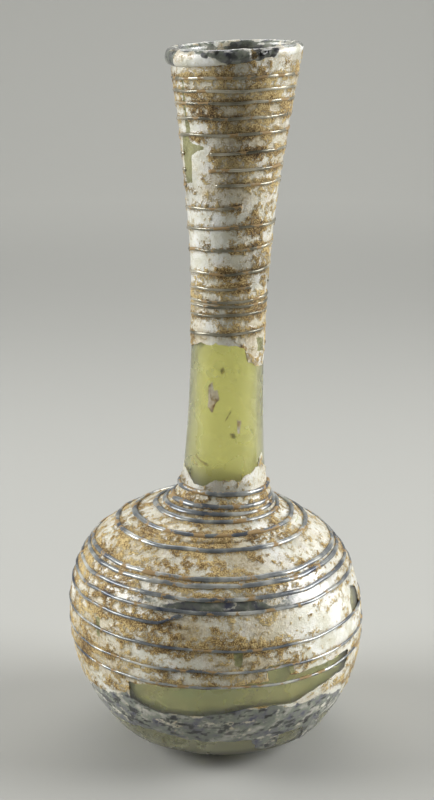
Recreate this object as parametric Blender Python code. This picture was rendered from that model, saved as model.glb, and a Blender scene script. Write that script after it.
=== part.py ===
"""A long-necked flask of blown glass with a spiral trail, a rolled rim and a flat underside.

The whole vessel is one piece of glass. Its skin is one grid of rows that runs from the middle of the
underside up the outside, over the rim and down the inside to the middle of the floor. Where the trail
is wound, the rows follow the trail, which no turned profile can do because its gaps are uneven.
Metres, +Z up. The origin is in the plane of the underside, straight below the middle of the widest ring.
"""

import bmesh
import bpy
import numpy as np

# Body: a full shoulder over a rounder lower half that the flat underside cuts off, tilted a little
BODY_RADIUS = 0.0408
BODY_MIDDLE = 0.0335
SHOULDER_RISE = 0.0336
SHOULDER_FULLNESS = 2.5
LOWER_FULLNESS = 1.92
LOWER_CUT_OFF = 0.0093
BASE_RADIUS = 0.0170
HEEL_HEIGHT = 0.0056
HEEL_ROUNDING = 0.8
BODY_TILT = 0.040

# Neck: from its root just above the shoulder to the top of the rim, set to the right and leaning that way
NECK_LENGTH = 0.1195
NECK_RADIUS = 0.00974
WAIST_ABOVE_ROOT = 0.0476
ROOT_RADIUS = 0.0114
ROOT_ABOVE_SHOULDER = 0.0049
ROOT_SPREAD = 0.0045
ROOT_FILLET = 0.0030
MOUTH_RADIUS = 0.0174
MOUTH_FLARE = 1.6
NECK_SET = 0.0021
NECK_LEAN = 0.0254

# Rim: a roll, thickest at the left, round a mouth that tips down towards the front left
RIM_TIP = 0.0024
RIM_HIGH_AT = 60.0
ROLL_HEIGHT = 0.0036
ROLL_HEIGHT_SWING = 0.0010
ROLL_PROUD = 0.0012
ROLL_PROUD_SWING = 0.0008
ROLL_THICK_AT = 190.0

# Glass thickness
NECK_WALL = 0.0018
BODY_WALL = 0.0020
BASE_WALL = 0.0034

# Trail: its width, and how far it stands proud as a share of that width
NECK_TRAIL_WIDTH = 0.00105
SHOULDER_TRAIL_WIDTH = 0.0017
BODY_TRAIL_WIDTH = 0.0012
TRAIL_PROUD = 0.62

# Where it is wound, as shares of the wall of the neck and of the body, and the gaps between its turns
# at the front, one number each, from the lowest turn up
NECK_WOUND = (0.395, 0.982)
NECK_GAPS = (5.1, 2.3, 1.2, 3.6, 4.1, 6.4, 5.7, 5.3, 5.9, 3.6, 4.3, 4.9, 4.1, 3.9, 3.0, 3.2)
BODY_WOUND = (0.431, 1.012)
BODY_GAPS = (4.4, 5.8, 5.8, 3.8, 3.4, 3.5, 1.8, 8.8, 5.4, 5.5, 2.4, 2.2, 3.7)
# How much of each turn's climb is held back from the front to the back
NECK_HOLD_BACK = 0.3
BODY_HOLD_BACK = 1.5
# The plain wall that is kept below the first turn and above the last one, in gaps
RUN_IN = 1.2
RUN_OUT = 0.5
# The most of a gap that the trail may fill where two turns lie side by side
ROOM_SHARE = 0.94
# Stretches that have no trail, broken away or never wound: turn from the lowest, from and to in degrees
NECK_LOST = ((4, 305, 350), (8, 283, 400), (9, 200, 249), (10, 200, 241), (11, 200, 243))
BODY_LOST = ((3, 258, 480),)

# Over what part of a turn the trail thins out at an end or a break
FADE = 0.06

# Fineness of the skin
SEGMENTS = 32
LINE_SAMPLES = 4000
NORMAL_STEP = 0.0004
BASE_ROWS = 8
BARE_NECK_ROWS = 7
INNER_BODY_ROWS = 13
INNER_NECK_ROWS = 8
MERGE = 1e-6

SHOULDER_TOP = BODY_MIDDLE + SHOULDER_RISE
ROOT_HEIGHT = SHOULDER_TOP + ROOT_ABOVE_SHOULDER
HEIGHT = ROOT_HEIGHT + NECK_LENGTH
WAIST_HEIGHT = ROOT_HEIGHT + WAIST_ABOVE_ROOT
ANGLES = np.linspace(0.0, 2.0 * np.pi, SEGMENTS + 1)
TURN_PART = np.arange(SEGMENTS + 1) / SEGMENTS
FRONT = 0.75


def ease(t):
    """A smooth step from 0 to 1."""
    t = np.clip(t, 0.0, 1.0)
    return t * t * (3.0 - 2.0 * t)


def body_radius(height):
    """Superellipses above and below the widest ring."""
    above = height > BODY_MIDDLE
    reach = np.where(above, SHOULDER_RISE, BODY_MIDDLE + LOWER_CUT_OFF)
    power = np.where(above, SHOULDER_FULLNESS, LOWER_FULLNESS)
    share = np.clip(np.abs(height - BODY_MIDDLE) / reach, 0.0, 1.0)
    return BODY_RADIUS * (1.0 - share**power) ** (1.0 / power)


def neck_radius(height):
    """A waist that widens to the mouth above and to the root below, with a fillet on the shoulder."""
    up = np.clip((height - WAIST_HEIGHT) / (HEIGHT - WAIST_HEIGHT), 0.0, 1.0)
    down = np.clip((WAIST_HEIGHT - height) / WAIST_ABOVE_ROOT, 0.0, 1.0)
    widening = (MOUTH_RADIUS - NECK_RADIUS) * up**MOUTH_FLARE + (ROOT_RADIUS - NECK_RADIUS) * down**2
    fillet = ROOT_SPREAD * np.exp(np.minimum(SHOULDER_TOP - height, ROOT_FILLET) / ROOT_FILLET)
    return NECK_RADIUS + widening + fillet


def wall_radius(height):
    """The outside of the wall without its trail: the body, its heel rounded to the base, and the neck."""
    up_heel = np.clip(height / HEEL_HEIGHT, 0.0, 1.0)
    heel = BASE_RADIUS + (body_radius(HEEL_HEIGHT) - BASE_RADIUS) * up_heel**HEEL_ROUNDING
    body = np.where(height < HEEL_HEIGHT, heel, body_radius(height))
    return np.where(height > BODY_MIDDLE, np.maximum(body, neck_radius(height)), body)


def axis_shift(height):
    """How far the middle of the vessel stands to the right of the base at a height."""
    body = -BODY_TILT * (np.minimum(height, SHOULDER_TOP) - BODY_MIDDLE)
    neck = NECK_SET + NECK_LEAN * (height - ROOT_HEIGHT)
    into_neck = ease((height - SHOULDER_TOP) / (2 * ROOT_ABOVE_SHOULDER) + 0.5)
    return body + (neck - body) * into_neck


LINE_HEIGHT = np.linspace(0.0, HEIGHT, LINE_SAMPLES)
LINE_RADIUS = wall_radius(LINE_HEIGHT)
LINE_ALONG = np.concatenate([[0.0], np.cumsum(np.hypot(np.diff(LINE_RADIUS), np.diff(LINE_HEIGHT)))])
ROOT_ALONG = np.interp(ROOT_HEIGHT, LINE_HEIGHT, LINE_ALONG)
RIM_ALONG = LINE_ALONG[-1]


def on_wall(along, proud):
    """Radius and height of points standing proud of the wall, at distances along it from the base's edge."""
    radii = [np.interp(along + step, LINE_ALONG, LINE_RADIUS) for step in (-NORMAL_STEP, 0.0, NORMAL_STEP)]
    heights = [np.interp(along + step, LINE_ALONG, LINE_HEIGHT) for step in (-NORMAL_STEP, 0.0, NORMAL_STEP)]
    run = radii[2] - radii[0]
    rise = heights[2] - heights[0]
    length = np.hypot(run, rise)
    return radii[1] + proud * rise / length, heights[1] - proud * run / length


def row(radius, height):
    """One row of the skin round the vessel's leaning middle."""
    radius = np.broadcast_to(radius, ANGLES.shape)
    height = np.broadcast_to(height, ANGLES.shape)
    across = axis_shift(height) + radius * np.cos(ANGLES)
    return np.stack([across, radius * np.sin(ANGLES), height], axis=-1)


def trail_width(height):
    """The trail's width: thin on the neck, thickest on the shoulder, thinner again down the body."""
    down = ease((SHOULDER_TOP - height) / (SHOULDER_TOP - BODY_MIDDLE))
    body = SHOULDER_TRAIL_WIDTH + (BODY_TRAIL_WIDTH - SHOULDER_TRAIL_WIDTH) * down
    up = ease((height - ROOT_HEIGHT) / WAIST_ABOVE_ROOT)
    return body + (NECK_TRAIL_WIDTH - body) * up


def wound_rows(start, end, gaps, hold_back, lost, with_middle):
    """Rows that follow the trail between two distances along the wall, and the distances of its end rings.

    Each row is a stretch of one turn, and a row ends where the same row of the next turn begins. Beyond
    the end rings the rows are pressed onto those rings, where the merge takes them in.
    """
    turns = len(gaps) + 1
    fronts = start + (end - start) * np.concatenate([[0.0], np.cumsum(gaps)]) / np.sum(gaps)
    first = fronts[1] - fronts[0]
    last = fronts[-1] - fronts[-2]
    low = fronts[0] - RUN_IN * first
    high = fronts[-1] + RUN_OUT * last
    knots = [[fronts[0] - 2 * first, fronts[0] - first], fronts, [fronts[-1] + last, fronts[-1] + 2 * last]]
    knots = np.concatenate(knots)
    knot_turns = np.arange(-2, turns + 2) + FRONT
    rows = [row(*on_wall(low, 0.0))]
    for turn in range(-1, turns + 2):
        wound = turn + TURN_PART
        held = wound - hold_back * np.sin(2 * np.pi * (wound - FRONT)) / (2 * np.pi)
        below, middle, above = [np.interp(held + step, knot_turns, knots) for step in (-1, 0, 1)]
        width = trail_width(np.interp(middle, LINE_ALONG, LINE_HEIGHT))
        half = np.minimum(width, ROOM_SHARE * np.minimum(middle - below, above - middle)) / 2
        half = np.maximum(half, MERGE)
        there = ease(wound / FADE - 1.0) * ease((turns - wound) / FADE - 1.0)
        for lost_turn, lost_from, lost_to in lost:
            before = ease((lost_turn + lost_from / 360.0 - wound) / FADE)
            after = ease((wound - lost_turn - lost_to / 360.0) / FADE)
            there = there * np.maximum(before, after)
        offsets = [(middle - half, 0.0), (middle, TRAIL_PROUD * width * there), (middle + half, 0.0)]
        if with_middle:
            offsets.append(((middle + above) / 2, 0.0))
        for along, proud in offsets:
            inside = (along > low) & (along < high)
            rows.append(row(*on_wall(np.clip(along, low, high), np.where(inside, proud, 0.0))))
    rows.append(row(*on_wall(high, 0.0)))
    return rows, low, high


def rim_rows():
    """Rows over the roll, from its crease on the outside to the inside of the mouth."""
    thick = np.cos(ANGLES - np.radians(ROLL_THICK_AT))
    tall = ROLL_HEIGHT + ROLL_HEIGHT_SWING * thick
    proud = ROLL_PROUD + ROLL_PROUD_SWING * thick
    top = HEIGHT - RIM_TIP * (1.0 - np.cos(ANGLES - np.radians(RIM_HIGH_AT))) / 2
    crease = top - tall
    wall = wall_radius(crease)
    # how far out in rolls, how far in in walls, and how far down the roll
    section = (
        (0.0, 0.0, 1.0), (0.85, 0.0, 0.80), (1.0, 0.0, 0.45), (0.55, 0.0, 0.10),
        (0.0, 0.45, 0.0), (0.0, 1.15, 0.25), (0.0, 1.10, 1.0),
    )
    rows = [row(wall + out * proud - inward * NECK_WALL, top - down * tall) for out, inward, down in section]
    return rows, np.interp(crease.min(), LINE_HEIGHT, LINE_ALONG)


def skin_rows():
    """All rows of the skin, in order from the middle of the underside to the middle of the floor."""
    lip, lip_foot = rim_rows()
    body_ends = [share * ROOT_ALONG for share in BODY_WOUND]
    neck_ends = [ROOT_ALONG + share * (lip_foot - ROOT_ALONG) for share in NECK_WOUND]
    body, body_low, body_high = wound_rows(*body_ends, BODY_GAPS, BODY_HOLD_BACK, BODY_LOST, True)
    neck, neck_low, _ = wound_rows(*neck_ends, NECK_GAPS, NECK_HOLD_BACK, NECK_LOST, False)
    heel = np.interp(HEEL_HEIGHT, LINE_HEIGHT, LINE_ALONG)
    mouth_foot = lip_foot - ROLL_HEIGHT
    base_rings = body_low * np.linspace(0.0, 1.0, BASE_ROWS)[:-1] ** 1.3
    bare_neck_rings = np.linspace(body_high, neck_low, BARE_NECK_ROWS)[1:-1]
    inner_neck_rings = np.linspace(mouth_foot, ROOT_ALONG, INNER_NECK_ROWS)
    inner_body_rings = np.linspace(ROOT_ALONG, heel, INNER_BODY_ROWS)[1:]

    rows = [row(0.0, 0.0)]
    rows += [row(*on_wall(along, 0.0)) for along in base_rings]
    rows += body
    rows += [row(*on_wall(along, 0.0)) for along in bare_neck_rings]
    rows += neck
    rows += lip
    rows += [row(*on_wall(along, -NECK_WALL)) for along in inner_neck_rings]
    rows += [row(*on_wall(along, -BODY_WALL)) for along in inner_body_rings]
    rows += [row(BASE_RADIUS - BODY_WALL, BASE_WALL), row(0.0, BASE_WALL)]
    return rows


def flask_mesh():
    """The skin as one closed mesh: a grid whose doubled points at the seam, the rings and the poles merge."""
    points = np.array(skin_rows())
    count, across = points.shape[:2]
    skin = bmesh.new()
    verts = [[skin.verts.new(point) for point in line] for line in points]
    for low in range(count - 1):
        for side in range(across - 1):
            corners = (verts[low][side], verts[low][side + 1], verts[low + 1][side + 1], verts[low + 1][side])
            skin.faces.new(corners)
    bmesh.ops.remove_doubles(skin, verts=skin.verts, dist=MERGE)
    bmesh.ops.dissolve_degenerate(skin, edges=skin.edges, dist=MERGE)
    mesh = bpy.data.meshes.new("flask")
    skin.to_mesh(mesh)
    skin.free()
    mesh.shade_smooth()
    mesh.set_sharp_from_angle(angle=np.radians(35.0))
    return mesh


def weathered_glass():
    """Yellow-green glass under a pale silvery and ochre weathering crust."""
    material = bpy.data.materials.new("weathered glass")
    material.use_nodes = True
    shader = material.node_tree.nodes["Principled BSDF"]
    shader.inputs["Base Color"].default_value = (0.62, 0.56, 0.42, 1.0)
    shader.inputs["Roughness"].default_value = 0.45
    shader.inputs["Metallic"].default_value = 0.0
    shader.inputs["IOR"].default_value = 1.5
    return material


for leftover in list(bpy.data.objects):
    bpy.data.objects.remove(leftover, do_unlink=True)

parts = bpy.data.collections.new("unguentarium")
bpy.context.scene.collection.children.link(parts)
flask = bpy.data.objects.new("flask", flask_mesh())
flask.data.materials.append(weathered_glass())
parts.objects.link(flask)
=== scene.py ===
"""The looks of a long-necked flask of blown glass: clear yellow-green glass under a broken white crust,
ochre soil, a wound trail and a rolled rim. Metres, +Z up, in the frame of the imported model."""

import itertools

import bpy
import numpy as np
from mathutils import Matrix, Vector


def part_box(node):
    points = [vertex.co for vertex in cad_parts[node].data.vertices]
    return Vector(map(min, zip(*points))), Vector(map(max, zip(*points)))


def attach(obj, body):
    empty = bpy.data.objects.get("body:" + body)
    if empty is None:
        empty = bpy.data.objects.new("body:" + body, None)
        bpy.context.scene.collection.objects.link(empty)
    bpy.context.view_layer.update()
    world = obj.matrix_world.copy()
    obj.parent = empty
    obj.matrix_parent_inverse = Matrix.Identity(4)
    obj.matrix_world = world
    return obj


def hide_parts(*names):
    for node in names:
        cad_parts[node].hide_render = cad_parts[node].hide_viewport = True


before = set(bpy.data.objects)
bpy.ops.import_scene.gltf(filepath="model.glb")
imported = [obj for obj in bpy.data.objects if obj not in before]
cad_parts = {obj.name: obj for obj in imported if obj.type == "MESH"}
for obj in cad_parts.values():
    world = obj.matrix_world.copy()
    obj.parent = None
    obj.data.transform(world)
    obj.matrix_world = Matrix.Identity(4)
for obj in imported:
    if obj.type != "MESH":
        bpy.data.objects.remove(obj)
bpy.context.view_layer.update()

# The glass wall. The real vessel is one bubble of yellow-green glass, blown on a pipe, with a flat base
# pressed on and a neck drawn out and tooled to a flare. It is clear but dulled, and carries all the rest.

BODY_RADIUS = 0.0408
BODY_MIDDLE = 0.0335
SHOULDER_RISE = 0.0336
SHOULDER_FULLNESS = 2.5
LOWER_FULLNESS = 1.92
LOWER_CUT_OFF = 0.0093
BASE_RADIUS = 0.0170
HEEL_HEIGHT = 0.0056
HEEL_ROUNDING = 0.8
BODY_TILT = 0.040

NECK_RADIUS = 0.00974
WAIST_ABOVE_ROOT = 0.0476
ROOT_RADIUS = 0.0114
ROOT_ABOVE_SHOULDER = 0.0049
ROOT_SPREAD = 0.0045
ROOT_FILLET = 0.0030
MOUTH_RADIUS = 0.0174
MOUTH_FLARE = 1.6
NECK_SET = 0.0021
NECK_LEAN = 0.0254

NECK_WALL = 0.0018
BODY_WALL = 0.0020
BASE_WALL = 0.0034

RIM_TIP = 0.0024
RIM_HIGH_AT = 60.0
LIP_BELOW_RIM = 0.0013

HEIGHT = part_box("flask")[1][2]
SHOULDER_TOP = BODY_MIDDLE + SHOULDER_RISE
ROOT_HEIGHT = SHOULDER_TOP + ROOT_ABOVE_SHOULDER
WAIST_HEIGHT = ROOT_HEIGHT + WAIST_ABOVE_ROOT

MM = 0.001
TURN = 2.0 * np.pi


def ease(t):
    """A smooth step from 0 to 1: 3 t squared less 2 t cubed."""
    t = np.clip(t, 0.0, 1.0)
    return t * t * (3.0 - 2.0 * t)


def body_radius(height):
    """The globe: a superellipse above the widest ring and a rounder one below it."""
    above = height > BODY_MIDDLE
    reach = np.where(above, SHOULDER_RISE, BODY_MIDDLE + LOWER_CUT_OFF)
    power = np.where(above, SHOULDER_FULLNESS, LOWER_FULLNESS)
    share = np.clip(np.abs(height - BODY_MIDDLE) / reach, 0.0, 1.0)
    return BODY_RADIUS * (1.0 - share**power) ** (1.0 / power)


def neck_radius(height):
    """The neck: its waist, plus a power of the way up to the mouth, plus a square of the way down to the
    root, plus a fillet that dies away exponentially above the shoulder."""
    up = np.clip((height - WAIST_HEIGHT) / (HEIGHT - WAIST_HEIGHT), 0.0, 1.0)
    down = np.clip((WAIST_HEIGHT - height) / WAIST_ABOVE_ROOT, 0.0, 1.0)
    widening = (MOUTH_RADIUS - NECK_RADIUS) * up**MOUTH_FLARE + (ROOT_RADIUS - NECK_RADIUS) * down**2
    fillet = ROOT_SPREAD * np.exp(np.minimum(SHOULDER_TOP - height, ROOT_FILLET) / ROOT_FILLET)
    return NECK_RADIUS + widening + fillet


def wall_radius(height):
    """The outside of the wall at a height: a heel that rises by a power from the base, then the globe,
    then whichever of globe and neck is wider."""
    up_heel = np.clip(height / HEEL_HEIGHT, 0.0, 1.0)
    heel = BASE_RADIUS + (body_radius(HEEL_HEIGHT) - BASE_RADIUS) * up_heel**HEEL_ROUNDING
    body = np.where(height < HEEL_HEIGHT, heel, body_radius(height))
    return np.where(height > BODY_MIDDLE, np.maximum(body, neck_radius(height)), body)


def axis_shift(height):
    """How far the vessel's middle stands to the right: a straight tilt of the body, eased at the root
    into the straight lean of the neck."""
    body = -BODY_TILT * (np.minimum(height, SHOULDER_TOP) - BODY_MIDDLE)
    neck = NECK_SET + NECK_LEAN * (height - ROOT_HEIGHT)
    into_neck = ease((height - SHOULDER_TOP) / (2 * ROOT_ABOVE_SHOULDER) + 0.5)
    return body + (neck - body) * into_neck


LINE_HEIGHT = np.linspace(0.0, HEIGHT, 4000)
LINE_RADIUS = wall_radius(LINE_HEIGHT)
LINE_ALONG = np.concatenate([[0.0], np.cumsum(np.hypot(np.diff(LINE_RADIUS), np.diff(LINE_HEIGHT)))])
NORMAL_STEP = 0.0004


def along_at(height):
    """The distance along the wall, from the base's edge, at which it reaches a height."""
    return np.interp(height, LINE_HEIGHT, LINE_ALONG)


def on_wall(along, proud):
    """Radius and height of points that stand proud of the wall: the wall's point, moved out along the
    normal of the line through its neighbours."""
    radii = [np.interp(along + step, LINE_ALONG, LINE_RADIUS) for step in (-NORMAL_STEP, 0.0, NORMAL_STEP)]
    heights = [np.interp(along + step, LINE_ALONG, LINE_HEIGHT) for step in (-NORMAL_STEP, 0.0, NORMAL_STEP)]
    run = radii[2] - radii[0]
    rise = heights[2] - heights[0]
    length = np.hypot(run, rise)
    return radii[1] + proud * rise / length, heights[1] - proud * run / length


def turned(radius, height, angle):
    """Points at a radius and an angle round the vessel's leaning middle."""
    radius, height, angle = np.broadcast_arrays(radius, height, angle)
    across = axis_shift(height) + radius * np.cos(angle)
    return np.stack([across, radius * np.sin(angle), height], axis=-1)


def rim_top(angle):
    """The mouth's edge: a plane tipped down from its highest side by the cosine of the angle."""
    return HEIGHT - RIM_TIP * (1.0 - np.cos(angle - np.radians(RIM_HIGH_AT))) / 2


def angles_round(count):
    """Evenly spaced angles once round, without the first one again."""
    return np.arange(count) * TURN / count


def net_faces(rows, columns):
    """The four-cornered faces of a net whose columns close on themselves, turned to face outward."""
    low, side = np.meshgrid(np.arange(rows - 1) * columns, np.arange(columns), indexing="ij")
    beside = (side + 1) % columns
    high = low + columns
    return np.stack([low + side, low + beside, high + beside, high + side], axis=-1)


def cap_faces(ring, middle, outward):
    """A fan of triangles from a ring of points to one point, turned one way or the other."""
    beside = np.roll(ring, -1)
    middles = np.full_like(ring, middle)
    return np.stack([ring, beside, middles] if outward else [beside, ring, middles], axis=-1)


def new_piece(name, points, quads, triangles=None, sharp=60.0):
    """A mesh object of given points and faces, shaded smooth up to an angle, without its unused points."""
    triangles = np.empty((0, 3), int) if triangles is None else triangles
    corners = np.concatenate([quads.reshape(-1), triangles.reshape(-1)])
    used, corners = np.unique(corners, return_inverse=True)
    sizes = np.concatenate([np.full(quads.size // 4, 4), np.full(len(triangles), 3)])
    mesh = bpy.data.meshes.new(name)
    mesh.vertices.add(len(used))
    mesh.vertices.foreach_set("co", points.reshape(-1, 3)[used].astype(np.float32).reshape(-1))
    mesh.loops.add(len(corners))
    mesh.loops.foreach_set("vertex_index", corners.astype(np.int32).reshape(-1))
    mesh.polygons.add(len(sizes))
    mesh.polygons.foreach_set("loop_start", np.concatenate([[0], np.cumsum(sizes)[:-1]]).astype(np.int32))
    mesh.update(calc_edges=True)
    mesh.shade_smooth()
    mesh.set_sharp_from_angle(angle=np.radians(sharp))
    piece = bpy.data.objects.new(name, mesh)
    bpy.context.scene.collection.objects.link(piece)
    return piece, used


def belongs(piece, material, replaces=False):
    """Gives a piece its material and its body, and hides the imported flask if the piece takes its place."""
    piece.data.materials.append(material)
    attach(piece, "root")
    if replaces:
        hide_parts("flask")


class Finish:
    """A material, with short ways to put nodes between the piece's coordinates and its shader."""

    def __init__(self, name, plain):
        """Takes the values that are the same all over straight to the shader's own sockets."""
        self.material = bpy.data.materials.new(name)
        self.material.use_nodes = True
        self.nodes, self.links = self.material.node_tree.nodes, self.material.node_tree.links
        self.shader = self.nodes["Principled BSDF"].inputs
        self.place = self.nodes.new("ShaderNodeTexCoord").outputs["Object"]
        for socket, value in plain.items():
            self.shader[socket].default_value = value

    def new(self, kind, **settings):
        """A node of a kind, with its settings."""
        node = self.nodes.new("ShaderNode" + kind)
        for setting, value in settings.items():
            setattr(node, setting, value)
        return node

    def put(self, value, socket):
        """Takes a value from a node to one of the shader's sockets."""
        self.links.new(value, self.shader[socket])

    def carried(self, name):
        """What the mesh carries under a name."""
        return self.new("Attribute", attribute_name=name).outputs

    def noise(self, scale, detail, roughness=0.5):
        """Soft random values from 0 to 1."""
        node = self.new("TexNoise")
        node.inputs["Scale"].default_value = scale
        node.inputs["Detail"].default_value = detail
        node.inputs["Roughness"].default_value = roughness
        self.links.new(self.place, node.inputs["Vector"])
        return node.outputs["Fac"]

    def ramp(self, value, *stops):
        """Colours along a value, from stop to stop."""
        node = self.new("ValToRGB")
        elements = node.color_ramp.elements
        while len(elements) < len(stops):
            elements.new(0.5)
        for element, (position, colour) in zip(elements, stops):
            element.position = position
            element.color = (*colour, 1.0)
        self.links.new(value, node.inputs["Fac"])
        return node.outputs["Color"]

    def spread(self, value, low, high, to_low=0.0, to_high=1.0):
        """A value between two limits, brought between two others."""
        node = self.new("MapRange")
        for socket, limit in zip(("From Min", "From Max", "To Min", "To Max"), (low, high, to_low, to_high)):
            node.inputs[socket].default_value = limit
        self.links.new(value, node.inputs["Value"])
        return node.outputs[0]

    def roughened(self, value, by, strength):
        """A value plus so much of another."""
        node = self.new("Math", operation="MULTIPLY_ADD")
        self.links.new(by, node.inputs[0])
        node.inputs[1].default_value = strength
        self.links.new(value, node.inputs[2])
        return node.outputs[0]

    def mix(self, share, first, second, how="MIX"):
        """Two colours mixed by a share, each from a node or plain."""
        node = self.new("Mix", data_type="RGBA", blend_type=how)
        for value, socket in ((share, "Factor"), (first, "A"), (second, "B")):
            if isinstance(value, bpy.types.NodeSocket):
                self.links.new(value, node.inputs[socket])
            else:
                node.inputs[socket].default_value = value
        return node.outputs["Result"]

    def relief(self, height, strength, distance):
        """Bumps the surface by a height, with a strength that is plain or from a node."""
        node = self.new("Bump")
        if isinstance(strength, bpy.types.NodeSocket):
            self.links.new(strength, node.inputs["Strength"])
        else:
            node.inputs["Strength"].default_value = strength
        node.inputs["Distance"].default_value = distance
        self.links.new(height, node.inputs["Height"])
        self.put(node.outputs["Normal"], "Normal")


GLASS_COLUMNS = 160
OUTER_RINGS, INNER_NECK_RINGS, INNER_BODY_RINGS = 190, 70, 60


def glass_points(count):
    """The glass as rings: out along the underside, up the outside, over the lip, and down the inside to the
    floor. Each ring is on_wall at a distance along the wall, with the wall's thickness taken off inside."""
    angle = angles_round(count)
    lip = along_at(rim_top(angle) - LIP_BELOW_RIM)
    outer = np.linspace(0.0, lip, OUTER_RINGS)
    inner_neck = np.linspace(lip, along_at(ROOT_HEIGHT), INNER_NECK_RINGS)
    inner_body = np.linspace(along_at(ROOT_HEIGHT), along_at(HEEL_HEIGHT), INNER_BODY_RINGS)[1:]
    rings = [turned(share * BASE_RADIUS, 0.0, angle) for share in (0.4, 0.8)]
    rings += [turned(*on_wall(along, 0.0), angle) for along in outer]
    rings += [turned(*on_wall(along, -NECK_WALL), angle) for along in inner_neck]
    rings += [turned(*on_wall(along, -BODY_WALL), angle) for along in inner_body]
    rings += [turned(share * (BASE_RADIUS - BODY_WALL), BASE_WALL, angle) for share in (1.0, 0.5)]
    return np.array(rings)


def dulled_glass():
    """Yellow-green glass, see-through by plain values, with fine pits and a haze that comes and goes."""
    glass = Finish("dulled yellow-green glass", {
        "Base Color": (0.94, 0.93, 0.49, 1.0), "IOR": 1.5, "Transmission Weight": 1.0,
        "Coat Weight": 0.6, "Coat Roughness": 0.28, "Coat IOR": 1.8,
    })
    glass.relief(glass.noise(180.0, 6.0), 0.25, 0.2 * MM)
    glass.put(glass.spread(glass.noise(90.0, 4.0), 0.35, 0.65, 0.12, 0.42), "Roughness")
    return glass.material


glass_rings = glass_points(GLASS_COLUMNS)
glass_count = len(glass_rings) * GLASS_COLUMNS
middles = np.array([[axis_shift(0.0), 0.0, 0.0], [axis_shift(BASE_WALL), 0.0, BASE_WALL]])
first_ring = np.arange(GLASS_COLUMNS)
glass_caps = np.concatenate([
    cap_faces(first_ring, glass_count, False),
    cap_faces(first_ring + glass_count - GLASS_COLUMNS, glass_count + 1, True),
])
glass_piece, _ = new_piece(
    "glass_wall",
    np.concatenate([glass_rings.reshape(-1, 3), middles]),
    net_faces(len(glass_rings), GLASS_COLUMNS),
    glass_caps,
)
belongs(glass_piece, dulled_glass(), replaces=True)

# The trail. A thread of the same glass, laid on hot and wound from the shoulder's foot up to the rim and
# round the globe, thin on the neck and thick on the shoulder. It is fused to the wall, and broken in places.

NECK_TRAIL_WIDTH = 0.00105
SHOULDER_TRAIL_WIDTH = 0.0017
BODY_TRAIL_WIDTH = 0.0012
TRAIL_PROUD = 0.62
ROLL_FOOT = HEIGHT - 0.0070
NECK_WOUND = (0.395, 0.982)
NECK_GAPS = (5.1, 2.3, 1.2, 3.6, 4.1, 6.4, 5.7, 5.3, 5.9, 3.6, 4.3, 4.9, 4.1, 3.9, 3.0, 3.2)
BODY_WOUND = (0.431, 1.012)
BODY_GAPS = (4.4, 5.8, 5.8, 3.8, 3.4, 3.5, 1.8, 8.8, 5.4, 5.5, 2.4, 2.2, 3.7)
NECK_HOLD_BACK = 0.3
BODY_HOLD_BACK = 1.5
NECK_LOST = ((4, 305, 350), (8, 283, 400), (9, 200, 249), (10, 200, 241), (11, 200, 243))
BODY_LOST = ((3, 258, 480),)
FRONT = 0.75


def height_at(along):
    """The height that the wall has reached at a distance along it."""
    return np.interp(along, LINE_ALONG, LINE_HEIGHT)


def trail_width(height):
    """Thin on the neck, thickest on the shoulder, thinner down the body: two eased steps between widths."""
    down = ease((SHOULDER_TOP - height) / (SHOULDER_TOP - BODY_MIDDLE))
    body = SHOULDER_TRAIL_WIDTH + (BODY_TRAIL_WIDTH - SHOULDER_TRAIL_WIDTH) * down
    up = ease((height - ROOT_HEIGHT) / WAIST_ABOVE_ROOT)
    return body + (NECK_TRAIL_WIDTH - body) * up


class Winding:
    """One winding of the trail: where it runs, in distance along the wall, at any number of turns."""

    def __init__(self, start, end, gaps, hold_back, lost):
        self.turns = len(gaps) + 1
        fronts = start + (end - start) * np.concatenate([[0.0], np.cumsum(gaps)]) / np.sum(gaps)
        first, last = fronts[1] - fronts[0], fronts[-1] - fronts[-2]
        self.knots = np.concatenate([[fronts[0] - first], fronts, [fronts[-1] + last]])
        self.knot_turns = np.arange(-1, self.turns + 1) + FRONT
        self.hold_back = hold_back
        self.lost = sorted((turn + low / 360.0, turn + high / 360.0) for turn, low, high in lost)

    def along(self, wound):
        """Straight from turn to turn at the front, with part of each climb held back to the rear."""
        held = wound - self.hold_back * np.sin(TURN * (wound - FRONT)) / TURN
        return np.interp(held, self.knot_turns, self.knots)

    def runs(self):
        """The stretches that are there, from one break to the next."""
        edges = [0.0] + [edge for stretch in self.lost for edge in stretch] + [float(self.turns)]
        return [(low, high) for low, high in zip(edges[::2], edges[1::2]) if high > low]

    def nearest(self, angle, along):
        """How far each point of the wall is from the trail, up or down the wall."""
        part = (angle / TURN) % 1.0
        best = np.full(np.broadcast(angle, along).shape, 1.0)
        for turn in range(self.turns):
            wound = turn + part
            there = np.zeros_like(best)
            for low, high in self.runs():
                there = np.maximum(there, (wound > low) & (wound < high))
            away = np.abs(along - self.along(wound)) + (1.0 - there)
            best = np.minimum(best, away)
        return best


root_along = along_at(ROOT_HEIGHT)
roll_foot_along = along_at(ROLL_FOOT)
neck_winding = Winding(
    *[root_along + share * (roll_foot_along - root_along) for share in NECK_WOUND],
    NECK_GAPS, NECK_HOLD_BACK, NECK_LOST,
)
body_winding = Winding(*[share * root_along for share in BODY_WOUND], BODY_GAPS, BODY_HOLD_BACK, BODY_LOST)

LATTICE_SIDE = 32
LAYER_TURN = np.array([[0.8, 0.6, 0.0], [-0.6, 0.8, 0.0], [0.0, 0.0, 1.0]])


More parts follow.
